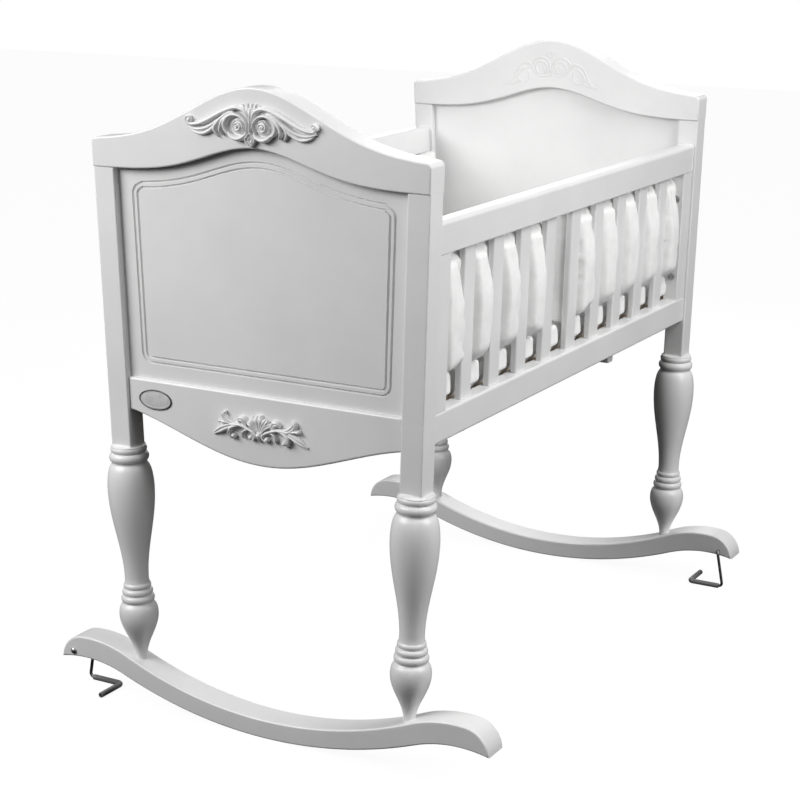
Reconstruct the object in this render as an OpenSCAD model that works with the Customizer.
// Rocking cradle: two end frames on rockers, joined by two slatted side frames that lean
// outward with the posts. X is the rocking direction, Y the length, Z up; the floor is Z = 0
// and the origin lies on the floor at the centre.

/* [Overall] */
// Length over the outer faces of the posts
length = 1000; // [700:10:1300]
// Width over the posts at their tops
width = 568; // [480:4:680]
// Height of the joint between posts and crest rails
post_top = 848; // [720:2:960]
// Outward lean of the posts and side frames, in degrees
lean = 1.8; // [0:0.1:3]

/* [Posts] */
// Thickness of the square part of a post
post_size = 36; // [30:1:48]
// Height where the square part ends and the turned leg begins
square_bottom = 421; // [400:1:440]
// Radius of the vase of the turned leg at its widest
vase_r = 36; // [28:0.5:40]
// Radius of the thin foot of the leg
foot_r = 9; // [8:0.5:14]
// Radius of the round tenon that enters the rocker
tenon_r = 6; // [4:0.5:7]
// Depth of that tenon below the top of the rocker
tenon_depth = 20; // [10:1:24]

/* [Crest rails] */
// Thickness of a crest rail
crest_t = 40; // [36:1:50]
// Height of the ends of a crest rail
crest_end_h = 41; // [30:1:60]
// Rise of the top of a crest rail at the middle above its ends
crest_rise = 88; // [60:1:120]
// Width of the bell curve of the crest's top
crest_bell = 105; // [80:1:120]
// Rise of the arch in the underside of a crest rail
arch_rise = 44; // [20:1:60]
// Width of the bell curve of that arch
arch_bell = 83; // [60:1:90]

/* [End panels] */
// Thickness of an end panel
panel_t = 12; // [8:1:16]
// Set-back of the panel's outer face from the posts' outer faces
panel_setback = 12; // [8:1:16]
// Depth of the housings that hold the panel's edges
housing_d = 8; // [5:1:12]
// Inset of the outer decorative groove from the panel's visible edge
groove_inset = 20; // [14:1:30]
// Distance between the two decorative grooves
groove_gap = 8; // [5:0.5:12]
// Width of a decorative groove
groove_w = 2.4; // [1.5:0.1:4]
// Depth of a decorative groove
groove_d = 2; // [1:0.1:3]

/* [Aprons] */
// Height of the top edge of an apron
apron_top = 532; // [500:1:560]
// Height of an apron at its ends
apron_end_h = 44; // [40:1:60]
// Extra depth of the apron's belly at the middle
apron_belly = 62; // [30:1:66]
// Thickness of an apron
apron_t = 22; // [18:1:26]
// Set-back of the apron's outer face from the posts' outer faces
apron_setback = 5; // [0:0.5:8]

/* [Side frames] */
// Height of the top of the top rails
rail_top = 807; // [760:1:830]
// Height of a top rail, edge to edge
rail_h = 48; // [36:1:60]
// Height of a bottom rail, edge to edge
bottom_rail_h = 46; // [36:1:60]
// Height of the underside of the bottom rails
rail_bottom = 488; // [450:1:510]
// Thickness of the side frames
rail_t = 26; // [20:1:30]
// Set-back of a side frame's outer face from the posts' outer faces
frame_setback = 4; // [0:0.5:8]
// Width of the end stiles
stile_w = 36; // [24:1:50]
// Number of slats on each side
slat_n = 9; // [7:1:11]
// Width of a slat
slat_w = 33; // [24:1:44]
// Thickness of a slat
slat_t = 11; // [8:1:16]
// Depth of the slats' ends in the rails
mortise_d = 10; // [6:1:14]

/* [Rockers] */
// Length of a rocker past the foot of each leg, to its tip
rocker_overhang = 141; // [120:1:170]
// Radius of the rocker's lower edge
rocker_r = 735; // [600:5:1100]
// Thickness of a rocker across the end frame
rocker_t = 46; // [38:1:56]
// Height of a rocker's band at the middle
rocker_h = 30; // [26:1:40]
// Radius of the hump outside each leg
hump_r = 186; // [150:2:240]
// Radius of the underside below the hump
flare_r = 205; // [170:5:260]
// Radius of the nose at the rocker's tip
nose_r = 42; // [30:1:50]

/* [Stopper rods] */
// Diameter of the steel rod
rod_d = 5; // [4:0.5:6]
// Diameter of the grey sleeve on the rod's foot
sleeve_d = 9; // [8:0.5:11]
// Distance of the rod's pivot from the rocker's tip
pivot_inset = 24; // [20:1:32]
// Height of the rod's pivot above the rocker's underside
pivot_up = 9.7; // [6.7:0.1:12.7]
// Bend radius of the rod's middle line
rod_bend = 6; // [5:0.5:8]
// Length of the run of the rod that lies on the floor, along the rocker
rod_run = 63; // [50:1:70]
// Length of the rod's foot, across the rocker
rod_foot = 54; // [40:1:56]

/* [Base and bedding] */
// Thickness of the mattress board
board_t = 10; // [6:1:15]
// Height and width of the ledger cleats that carry the board
cleat = 22; // [16:1:28]
// Thickness of the mattress
mattress_t = 50; // [40:1:70]
// Thickness of the bumper pads
bumper_t = 20; // [15:1:25]
// Height of the bumper pads
bumper_h = 190; // [150:5:200]
// Width of the gap between the two bumper pads of a side
bumper_gap = 30; // [20:2:60]

/* [Hardware] */
// Diameter of the side frame bolts
bolt_d = 6; // [5:1:8]
// Diameter of the wooden dowels
dowel_d = 8; // [6:1:10]

/* [Fits] */
// Gap round glued and housed joints
joint_gap = 0.1; // [0.05:0.05:0.2]
// Radial clearance of the stopper rods in their bores
running_gap = 0.08; // [0.05:0.01:0.1]
// Side clearance between a stopper rod and the rocker's faces
side_gap = 0.6; // [0.4:0.1:1]

/* [Hidden] */
ENDS = ["foot", "head"];
SIDES = ["left", "right"];
SLATS = [for (s = SIDES, i = [1 : slat_n]) str("slat_", s, "_", i)];
$fn = 48;

PAINT = "whitesmoke";
STEEL = "slategray";
end_y = length / 2;                       // outer faces of the posts
post_y = end_y - post_size / 2;           // axes of the posts
post_x = width / 2 - post_size / 2;       // axes of the posts at their tops
edge_r = 2;                               // rounding of long edges
crest_half = width / 2;
crest_tip = crest_half + crest_end_h * tan(lean); // its ends follow the posts' lean
crest_end_r = 8;                          // rounding of the crest's end corners
crest_y = end_y - post_size / 2;          // middle of the crest's thickness
panel_y = end_y - panel_setback - panel_t / 2;
apron_y = end_y - apron_setback - apron_t / 2;
carving_t = 8;                            // relief of the carved ornaments
plate_t = 2;                              // thickness of the oval plate
slat_low = rail_bottom + bottom_rail_h;          // the opening between the rails
slat_high = rail_top - rail_h;
rail_len = 2 * (post_y - post_size / 2);  // between the posts
opening_y = 2 * (post_y - post_size / 2 - stile_w);
slat_pitch = (opening_y + slat_w) / (slat_n + 1);
frame_in = frame_setback + rail_t / 2 - post_size / 2; // side frame's middle, inward from the post axes
bolt_z = [slat_low + 41, slat_high - 45];
bolt_len = stile_w + 24;                  // under the head
washer_t = 1.2;
washer_d = 2 * bolt_d;
insert_d = bolt_d + 4;
insert_l = 16;
leg_x = post_x - (post_top - 80) * tan(lean); // where the legs meet the rockers
rocker_half = leg_x + rocker_overhang;
sweep_x = leg_x + 20;                     // where the arc that rolls on the floor ends
band_x = leg_x + 13;                      // where the top's long arc ends
pivot_x = rocker_half - pivot_inset;
rod_y = post_y - rocker_t / 2 - side_gap - rod_bend; // plane of the rod's drop and run
drop_lean = 12;                           // outward slant of the rod's drop, over its height
rod_swell = 0.1;                          // a bent wire is a little thicker at its bends
cap_h = 3.5;
rod_arm = rocker_t + 1.5 * side_gap + rod_bend + 2; // from the rod's plane into the cap
board_z = rail_bottom + cleat + 4;        // underside of the mattress board
seat_gap = 0.15;                          // between the board, the cleats and the batten
// The cleats lean with the side frames: their inner upper edges reach the board, and the
// batten reaches their outer lower edges.
cleat_out = -frame_in - rail_t / 2;
cleat_top = post_top + (board_z - seat_gap - post_top + (cleat_out - cleat) * sin(lean)) / cos(lean);
batten_top = post_top - cleat_out * sin(lean) + (cleat_top - cleat - post_top) * cos(lean) - seat_gap;
batten_w = 21;
batten_h = 28;
batten_y = 210;
bedding_gap = 3;                          // clearance of soft pieces from the wood
mattress_z = board_z + board_t + 0.3;

// ---- profiles, as functions of X or Z ----

// bell curve of height 1 and width w
function bell(x, w) = exp(-x * x / (2 * w * w));
function crest_top_z(x) = post_top + crest_end_h + crest_rise * bell(x, crest_bell);
function crest_under_z(x) = post_top + arch_rise * (bell(x, arch_bell) - bell(post_x, arch_bell));
// inner face of the leaning posts at height z, measured from the middle
function inner_x(z) = post_x - post_size / 2 / cos(lean) - (post_top - z) * tan(lean);
function apron_low_z(x) =
    apron_top - apron_end_h - apron_belly * (1 + cos(180 * x / (inner_x(apron_top) + 55))) / 2;
// inner face of a side frame at height z
function frame_x(z) = inner_x(z) + post_size - frame_setback - rail_t;
// smooth step from 0 to 1
function ease(t) = (1 - cos(180 * t)) / 2;

// Rocker outline, right half. Its underside is an arc that rolls on the floor and a reverse arc
// out to the tip; its top is a long arc, the hump's arc and the nose's arc. All are tangent.
sweep_a = asin(sweep_x / rocker_r);
flare_c = [sweep_x + flare_r * sin(sweep_a), rocker_r - (rocker_r + flare_r) * cos(sweep_a)];
tip_z = flare_z(rocker_half);
top_r = rocker_r - 85;
band_a = asin(band_x / top_r);
hump_c = [band_x + hump_r * sin(band_a), rocker_h + top_r - (top_r + hump_r) * cos(band_a)];
nose_x = (rocker_half - nose_r - nose_r * hump_c[0] / hump_r) / (1 - nose_r / hump_r);
nose_a = acos((nose_x - hump_c[0]) / hump_r);
nose_c = hump_c + (hump_r - nose_r) * [cos(nose_a), sin(nose_a)];
function flare_z(x) = flare_c[1] + sqrt(flare_r * flare_r - pow(x - flare_c[0], 2));
pivot_z = flare_z(pivot_x) + pivot_up;
function rocker_high_z(x) = rocker_h + top_r - sqrt(top_r * top_r - x * x);

// points on an arc of radius r about c, from angle a0 to a1 in n steps, without the first
function arc(c, r, a0, a1, n) = [for (i = [1 : n]) let (a = a0 + (a1 - a0) * i / n) c + r * [cos(a), sin(a)]];
rocker_low = concat(
    arc([0, rocker_r], rocker_r, -90, -90 + sweep_a, 30),
    arc(flare_c, flare_r, 90 + sweep_a, acos((rocker_half - flare_c[0]) / flare_r), 12)
);
rocker_high = concat(
    [[0, rocker_h]],
    arc([0, rocker_h + top_r], top_r, -90, -90 + band_a, 28),
    arc(hump_c, hump_r, 90 + band_a, nose_a, 12),
    arc(nose_c, nose_r, nose_a, asin((tip_z + 2 - nose_c[1]) / nose_r), 9)
);
rocker_side = concat([[0, 0]], rocker_low, [for (i = [len(rocker_high) - 1 : -1 : 0]) rocker_high[i]]);
rocker_outline = concat(rocker_side, [for (i = [len(rocker_side) - 2 : -1 : 1]) [-rocker_side[i][0], rocker_side[i][1]]]);

// ---- shared shapes ----

// draws an X-Z outline as a plate of thickness t with its middle at y
module plate_xz(t, y) {
    translate([0, y + t / 2, 0]) rotate([90, 0, 0]) linear_extrude(t) children();
}

// puts foot-end geometry, drawn at negative Y, at the named end
module at_end(e) {
    mirror([0, e == "head" ? 1 : 0, 0]) children();
}

// puts right-side geometry, drawn at positive X, at the named side
module at_side(s) {
    mirror([s == "left" ? 1 : 0, 0, 0]) children();
}

// leans right-side geometry outward with the posts, about the tops of the posts
module leaning() {
    translate([post_x, 0, post_top]) rotate([0, lean, 0]) translate([0, 0, -post_top]) children();
}

// rectangle with true round corners
module round_rect(w, h, r) {
    square([w - 2 * r, h], center = true);
    square([w, h - 2 * r], center = true);
    for (x = [-1, 1], y = [-1, 1]) translate([x * (w / 2 - r), y * (h / 2 - r)]) circle(r);
}

// bar along Z from z0 to z1 with a rounded w by t section
module bar_z(w, t, z0, z1, r = edge_r) {
    translate([0, 0, z0]) linear_extrude(z1 - z0) round_rect(w, t, r);
}

// bar along Y, centred, with a rounded w by h section
module bar_y(w, h, l, r = edge_r) {
    rotate([90, 0, 0]) linear_extrude(l, center = true) round_rect(w, h, r);
}

// ---- end frames ----

// outline of the panel, grown by g past its housings
module panel_outline(g) {
    half_n = 24;
    low_z = apron_top - housing_d - g;
    top_half = inner_x(post_top) + housing_d + g;
    low_half = inner_x(low_z) + housing_d + g;
    polygon(concat(
        [[-low_half, low_z], [low_half, low_z]],
        [for (i = [-half_n : half_n])
            let (x = -i * top_half / half_n) [x, crest_under_z(x) + housing_d + g]]
    ));
}

module panel_blank(g) {
    plate_xz(panel_t + 2 * g, -panel_y) panel_outline(g);
}

// closed path inside the panel's visible edge: inset from it, with corners of radius r
function groove_path(inset, r) =
    let (
        low_z = apron_top + inset + 4,
        high_z = crest_under_z(post_x) - inset,
        low_x = inner_x(low_z) - inset,
        high_x = inner_x(high_z) - inset,
        span = high_x - r
    )
    concat(
        [for (a = [180 : 15 : 270]) [-low_x + r + r * cos(a), low_z + r + r * sin(a)]],
        [for (a = [270 : 15 : 360]) [low_x - r + r * cos(a), low_z + r + r * sin(a)]],
        [for (a = [0 : 15 : 75]) [high_x - r + r * cos(a), high_z - r + r * sin(a)]],
        [for (i = [24 : -1 : -24]) [span * i / 24, crest_under_z(span * i / 24) - inset]],
        [for (a = [105 : 15 : 165]) [-high_x + r + r * cos(a), high_z - r + r * sin(a)]]
    );

module groove_ring(inset, r) {
    plate_xz(2 * groove_d, -(panel_y + panel_t / 2)) difference() {
        polygon(groove_path(inset, r));
        polygon(groove_path(inset + groove_w, r - groove_w));
    }
}

module end_panel(e) {
    color(PAINT) at_end(e) difference() {
        panel_blank(0);
        groove_ring(groove_inset, 17);
        groove_ring(groove_inset + groove_gap, 11);
    }
}

module crest_outline() {
    n = 40;
    x_in = crest_tip - crest_end_r;
    z_in = crest_top_z(crest_half) - crest_end_r;
    polygon(concat(
        [for (i = [-n : n]) let (x = i * (inner_x(post_top) + 2) / n) [x, crest_under_z(x)]],
        [[crest_half, post_top]],
        [for (a = [0 : 15 : 75]) [x_in + crest_end_r * cos(a), z_in + crest_end_r * sin(a)]],
        [for (i = [n : -1 : -n]) let (x = i * x_in / n) [x, crest_top_z(x)]],
        [for (a = [105 : 15 : 180]) [-x_in + crest_end_r * cos(a), z_in + crest_end_r * sin(a)]],
        [[-crest_half, post_top]]
    ));
}

module crest_rail(e) {
    color(PAINT) at_end(e) difference() {
        plate_xz(crest_t, -crest_y) crest_outline();
        panel_blank(joint_gap);
        crest_dowels(joint_gap);
    }
}

module apron_outline() {
    n = 32;
    low_half = inner_x(apron_low_z(inner_x(apron_top - apron_end_h)));
    polygon(concat(
        [for (i = [-n : n]) let (x = i * low_half / n) [x, apron_low_z(x)]],
        [[inner_x(apron_top), apron_top], [-inner_x(apron_top), apron_top]]
    ));
}

module apron(e) {
    color(PAINT) at_end(e) difference() {
        plate_xz(apron_t, -apron_y) apron_outline();
        panel_blank(joint_gap);
        apron_dowels(joint_gap);
    }
}

// vertical dowels between the posts and the crest rail
module crest_dowels(g) {
    for (s = SIDES, k = [-1, 1])
        at_side(s) translate([post_x + 3, k * post_size / 4 - crest_y, post_top - 20 - g])
            cylinder(d = dowel_d + 2 * g, h = 40 + 2 * g);
}

// level dowels between the apron's ends and the posts
module apron_dowels(g) {
    for (s = SIDES, k = [-1, 1])
        at_side(s) translate([inner_x(apron_top) - 22 - g, -apron_y, apron_top - apron_end_h / 2 - 3 + k * 9])
            rotate([0, 90, 0]) cylinder(d = dowel_d + 2 * g, h = 40 + 2 * g);
}

module dowels() {
    color("burlywood") for (e = ENDS) at_end(e) {
        crest_dowels(0);
        apron_dowels(0);
    }
}

// ---- posts ----

// half ring of radius r and half height h at height z
function ring(r, h, z) = [for (a = [60 : -20 : -60]) [r - h * (1 - cos(a)), z + h * sin(a) / sin(60)]];
// stretch from radius r0 at z0 to radius r1 at z1, smooth at both ends
function swell(r0, z0, r1, z1, n) = [for (i = [0 : n]) [r0 + (r1 - r0) * ease(i / n), z0 + (z1 - z0) * i / n]];

vase_z = square_bottom - 69;
neck_z = square_bottom - 215;
neck_r = vase_r - 17.5;
bulb_z = square_bottom - 272;
bulb_r = vase_r - 5.5;
foot_z = 60;                              // below the rocker's top: trimmed to it
leg_profile = concat(
    [[0, square_bottom + 8], [20, square_bottom + 8], [25.5, square_bottom + 1]],
    ring(28, 5, square_bottom - 6),
    ring(30.5, 7, square_bottom - 18.5),
    [[27, square_bottom - 28]],
    [for (a = [15 : 10 : 85]) [26 + (vase_r - 26) * sin(a), vase_z + (square_bottom - 29 - vase_z) * cos(a)]],
    swell(vase_r, vase_z, neck_r, neck_z, 16),
    ring(21.5, 4.5, square_bottom - 226),
    ring(24, 5, square_bottom - 236),
    ring(26, 5.5, square_bottom - 247),
    [[24, square_bottom - 254]],
    [for (a = [15 : 15 : 75]) [23.5 + (bulb_r - 23.5) * sin(a), bulb_z + (square_bottom - 255 - bulb_z) * cos(a)]],
    swell(bulb_r, bulb_z, foot_r, square_bottom - 345, 12),
    [[foot_r, foot_z], [0, foot_z]]
);

// round tenon under the leg, grown by g
module leg_tenon(g) {
    z = rocker_high_z(leg_x);
    leaning() translate([0, -post_y, z - tenon_depth - g]) cylinder(r = tenon_r + g, h = tenon_depth + 8);
}

module rocker_blank() {
    plate_xz(rocker_t, -post_y) polygon(rocker_outline);
}

module post(e, s) {
    color(PAINT) at_end(e) at_side(s) {
        difference() {
            leaning() translate([0, -post_y, 0]) {
                bar_z(post_size, post_size, square_bottom, post_top + 4);
                rotate_extrude() polygon(leg_profile);
            }
            translate([0, -length, post_top]) cube([width, length, 20]);
            rocker_trim();
            panel_blank(joint_gap);
            crest_dowels(joint_gap);
            apron_dowels(joint_gap);
            thread_insert_pair(joint_gap);
            bolt_tip_pair();
        }
        leg_tenon(0);
    }
}

// everything below the rocker's top, to trim the leg's foot
module rocker_trim() {
    plate_xz(2 * rocker_t, -post_y)
        polygon(concat([[0, 0]], [for (p = rocker_high) if (p[0] < hump_c[0]) p], [[hump_c[0], 0]]));
}

module rocker(e) {
    color(PAINT) at_end(e) difference() {
        rocker_blank();
        for (s = SIDES) at_side(s) leg_tenon(joint_gap);
        if (e == "foot") rod_bore("left");
        if (e == "head") rod_bore("right");
    }
}

// ---- side frames, drawn on the right ----

module top_rail(s) {
    color(PAINT) at_side(s) leaning() difference() {
        translate([-frame_in, 0, rail_top - rail_h / 2]) top_rail_bar();
        slat_mortises();
    }
}

module top_rail_bar() {
    rotate([90, 0, 0]) linear_extrude(rail_len, center = true) {
        translate([0, -rail_h / 4]) round_rect(rail_t, rail_h / 2, edge_r);
        translate([0, rail_h / 4 - 6]) round_rect(rail_t, rail_h / 2 + 12, 7);
    }
}

module bottom_rail(s) {
    color(PAINT) at_side(s) leaning() difference() {
        translate([-frame_in, 0, rail_bottom + bottom_rail_h / 2]) bar_y(rail_t, bottom_rail_h, rail_len, 4);
        slat_mortises();
    }
}

module slat_bar(i, g) {
    y = -opening_y / 2 - slat_w / 2 + i * slat_pitch;
    translate([-frame_in, y, 0])
        bar_z(slat_t + 2 * g, slat_w + 2 * g, slat_low - mortise_d - g, slat_high + mortise_d + g, 3);
}

module slat_mortises() {
    for (i = [1 : slat_n]) slat_bar(i, joint_gap);
}

module slat(s, i) {
    color(PAINT) at_side(s) leaning() slat_bar(i, 0);
}

module stile(e, s) {
    color(PAINT) at_side(s) at_end(e) difference() {
        leaning() translate([-frame_in, -(rail_len - stile_w) / 2, 0])
            bar_z(rail_t, stile_w, slat_low, slat_high);
        bolt_shank_pair(0.25);
    }
}

// ---- hardware at one corner, drawn at the right of the foot end ----

// places its children at the two bolts, pointing out of the end frame along -Y
module at_bolts() {
    leaning() for (z = bolt_z)
        translate([-frame_in, -opening_y / 2, z]) rotate([90, 0, 0]) children();
}

module bolt_shank_pair(g) {
    at_bolts() translate([0, 0, -1]) cylinder(d = bolt_d + 2 * g, h = stile_w + 2);
}

module bolt_tip_pair() {
    at_bolts() cylinder(d = bolt_d + 0.4, h = bolt_len + 1);
}

module thread_insert_pair(g) {
    at_bolts() translate([0, 0, stile_w + 4 - g]) cylinder(d = insert_d + 2 * g, h = insert_l + 2 * g);
}

module thread_inserts() {
    color("goldenrod") for (e = ENDS, s = SIDES) at_end(e) at_side(s) at_bolts()
        translate([0, 0, stile_w + 4]) difference() {
            cylinder(d = insert_d, h = insert_l);
            translate([0, 0, -1]) cylinder(d = bolt_d + 0.2, h = insert_l + 2);
        }
}

module side_bolts() {
    color(STEEL) for (e = ENDS, s = SIDES) at_end(e) at_side(s) at_bolts() difference() {
        union() {
            translate([0, 0, -washer_t]) cylinder(d = bolt_d, h = bolt_len + washer_t);
            translate([0, 0, -washer_t - 3.5]) cylinder(d = bolt_d + 4, h = 3.5);
        }
        translate([0, 0, -washer_t - 4]) cylinder(d = 4.6, h = 3, $fn = 6);
    }
}

module bolt_washers() {
    color("silver") for (e = ENDS, s = SIDES) at_end(e) at_side(s) at_bolts()
        translate([0, 0, -washer_t]) difference() {
            cylinder(d = washer_d + 2, h = washer_t);
            translate([0, 0, -1]) cylinder(d = bolt_d + 0.4, h = washer_t + 2);
        }
}

// ---- stopper rods: drawn at the foot end, left side, then turned to the head end ----

module rod_bore(s) {
    at_side(s) translate([pivot_x, -post_y, pivot_z]) rotate([90, 0, 0])
        cylinder(d = rod_d + 2 * running_gap, h = rocker_t + 2, center = true);
}

// the foot-end rod is on the left and the head-end rod on the right
module at_stopper(e) {
    rotate([0, 0, e == "head" ? 180 : 0]) at_side("left") children();
}

drop_z = pivot_z - sleeve_d / 2;
drop_len = sqrt(drop_z * drop_z + drop_lean * drop_lean);
drop_angle = atan(drop_lean / drop_z);
run_end_x = pivot_x + drop_lean - rod_run;

rod_corner = rod_bend * tan((90 + drop_angle) / 2); // from the drop's corner to the bend's ends

// quarter or other part of a ring: starts at the origin along X and turns towards Y by angle a
module elbow(d, a) {
    translate([0, rod_bend, 0]) rotate(-90) rotate_extrude(angle = a) translate([rod_bend, 0]) circle(d = d);
}

// wire along X made of steps [straight length, roll of the bend after it, angle of that bend];
// its bends are swollen by s, and the straights then reach a little into them
module wire(d, steps, s = 0, i = 0) {
    before = i > 0 ? 3 * s : 0;
    after = i < len(steps) - 1 ? 3 * s : 0;
    translate([-before, 0, 0]) rotate([0, 90, 0]) cylinder(d = d, h = steps[i][0] + before + after);
    if (i < len(steps) - 1) translate([steps[i][0], 0, 0]) rotate([steps[i][1], 0, 0]) {
        elbow(d + s, steps[i][2]);
        translate([rod_bend * sin(steps[i][2]), rod_bend * (1 - cos(steps[i][2])), 0])
            rotate([0, 0, steps[i][2]]) wire(d, steps, s, i + 1);
    }
}

run_straight = rod_run - rod_corner - rod_bend;
foot_straight = rod_foot - rod_bend;

module stopper_rod(e) {
    color(STEEL) at_stopper(e) translate([pivot_x, -rod_y - rod_arm, pivot_z]) rotate([0, 0, 90])
        wire(rod_d, [
            [rod_arm - rod_bend, -90 - drop_angle, 90],
            [drop_len - rod_bend - rod_corner, 90, 90 + drop_angle],
            [run_straight, -90, 90],
            [foot_straight, 0, 0]
        ], rod_swell);
}

// the run and the foot that lie on the floor, with diameter d and e longer at both ends
module floor_wire(d, e) {
    translate([pivot_x + drop_lean - rod_corner + e, -rod_y, sleeve_d / 2]) rotate([0, 0, 180])
        wire(d, [[run_straight + e, 0, 90], [foot_straight + e, 0, 0]]);
}

module stopper_sleeve(e) {
    color("dimgray") at_stopper(e) difference() {
        floor_wire(sleeve_d, 0);
        floor_wire(rod_d + 2 * rod_swell, 1);
    }
}

module stopper_cap(e) {
    color("silver") at_stopper(e)
        translate([pivot_x, -(post_y + rocker_t / 2 + side_gap / 2), pivot_z]) rotate([90, 0, 0])
            difference() {
                intersection() {
                    translate([0, 0, -1.5]) sphere(r = cap_h + 2.2);
                    cylinder(d = 2 * cap_h + 4, h = cap_h + 2);
                }
                translate([0, 0, -1]) cylinder(d = rod_d + 0.1, h = cap_h - 0.5);
            }
}

// ---- base and bedding ----

module ledger_cleats() {
    color("tan") for (s = SIDES) at_side(s) leaning()
        translate([cleat_out - cleat / 2, 0, cleat_top - cleat / 2])
            cube([cleat, rail_len - 20, cleat], center = true);
}

module cross_batten() {
    half = frame_x(batten_top - batten_h) - 1;
    color(PAINT) translate([0, batten_y, batten_top - batten_h / 2])
        rotate([0, 90, 0]) linear_extrude(2 * half, center = true) round_rect(batten_h, batten_w, 3);
}

module mattress_board() {
    half = frame_x(board_z) - 1;
    corner = half - inner_x(board_z) + 2;
    color("burlywood") translate([0, 0, board_z]) linear_extrude(board_t) difference() {
        square([2 * half, 2 * (end_y - apron_setback - apron_t - 1)], center = true);
        for (x = [-1, 1], y = [-1, 1]) translate([x * half, y * (rail_len / 2 + 10)])
            square([2 * corner, 24], center = true);
    }
}

module mattress() {
    half = frame_x(mattress_z) - 6;
    color("white") translate([0, 0, mattress_z]) linear_extrude(mattress_t)
        round_rect(2 * half, rail_len - 2 * bedding_gap, 12);
}

module bumper(e, s) {
    z0 = mattress_z + mattress_t + 1;
    l = rail_len / 2 - bumper_gap / 2 - bedding_gap;
    x = -frame_in - rail_t / 2 - bumper_t / 2 - 0.6;
    color("white") at_side(s) at_end(e) leaning()
        translate([x, -(rail_len / 2 - bedding_gap - l / 2), z0 + bumper_h / 2])
            rotate([0, 90, 0]) linear_extrude(bumper_t, center = true) round_rect(bumper_h, l, 16);
}

// ---- ornaments ----

// leaf blade from p to q as a flat shape: widest w near its root, bowed sideways by b
module leaf(p, q, w, b) {
    n = 10;
    d = q - p;
    l = norm(d);
    u = d / l;
    v = [-u[1], u[0]];
    function mid(t) = p + d * t + v * b * sin(180 * t);
    function half(t) = w / 2 * (0.35 + sin(180 * pow(t, 0.7))) * (1 - 0.75 * t);
    polygon(concat(
        [for (i = [0 : n]) mid(i / n) - v * half(i / n)],
        [for (i = [n : -1 : 0]) mid(i / n) + v * half(i / n)]
    ));
}

module both_ways() {
    children();
    mirror([1, 0, 0]) children();
}

module crest_carvings() {
    color(PAINT) for (e = ENDS) at_end(e)
        translate([0, -(crest_y + crest_t / 2), post_top + 76]) rotate([90, 0, 0]) crest_relief();
}

module crest_relief() {
    linear_extrude(6) {
        square([46, 14], center = true);
        leaf([0, -4], [0, 30], 20, 0);
        leaf([0, 0], [0, -27], 22, 0);
        both_ways() {
            translate([20, 0]) circle(r = 12);
            translate([34, -6]) circle(r = 12);
            leaf([24, 4], [58, -5], 16, -5);
            leaf([30, 14], [84, -14], 14, -7);
            leaf([74, -12], [106, 1], 11, -4);
            translate([103, 3]) circle(r = 5);
        }
    }
    both_ways() translate([20, 0, 5]) cylinder(r = 8.5, h = carving_t - 5);
}

module apron_carvings() {
    color(PAINT) for (e = ENDS) at_end(e)
        translate([0, -(apron_y + apron_t / 2), apron_top - 46]) rotate([90, 0, 0])
            linear_extrude(6) apron_relief();
}

module apron_relief() {
    circle(r = 12);
    square([56, 8], center = true);
    for (a = [-68 : 34 : 68]) rotate(a) leaf([0, -6], [0, 22], 10, 0);
    both_ways() {
        leaf([10, 0], [36, 6], 12, 3);
        translate([37, -5]) circle(r = 9);
        translate([43, -13]) circle(r = 5);
        leaf([34, 0], [58, 20], 12, 3);
        leaf([36, 0], [80, -16], 14, 8);
        leaf([46, 2], [70, 5], 11, 2);
    }
}

module oval_plate() {
    color("silver") translate([-188, -(apron_y + apron_t / 2), apron_top - 30]) rotate([90, 0, 0])
        linear_extrude(plate_t) ellipse(22, 12.5);
}

// ellipse with half axes a and b
module ellipse(a, b) {
    polygon([for (t = [0 : 10 : 350]) [a * cos(t), b * sin(t)]]);
}

for (e = ENDS, s = SIDES) post(e, s);
for (e = ENDS) crest_rail(e);
for (e = ENDS) end_panel(e);
for (e = ENDS) apron(e);
for (e = ENDS) rocker(e);
crest_carvings();
apron_carvings();
oval_plate();
for (s = SIDES) top_rail(s);
for (s = SIDES) bottom_rail(s);
for (e = ENDS, s = SIDES) stile(e, s);
for (s = SIDES, i = [1 : slat_n]) slat(s, i);
for (e = ENDS) stopper_rod(e);
for (e = ENDS) stopper_sleeve(e);
for (e = ENDS) stopper_cap(e);
side_bolts();
bolt_washers();
thread_inserts();
dowels();
ledger_cleats();
cross_batten();
mattress_board();
mattress();
for (e = ENDS, s = SIDES) bumper(e, s);
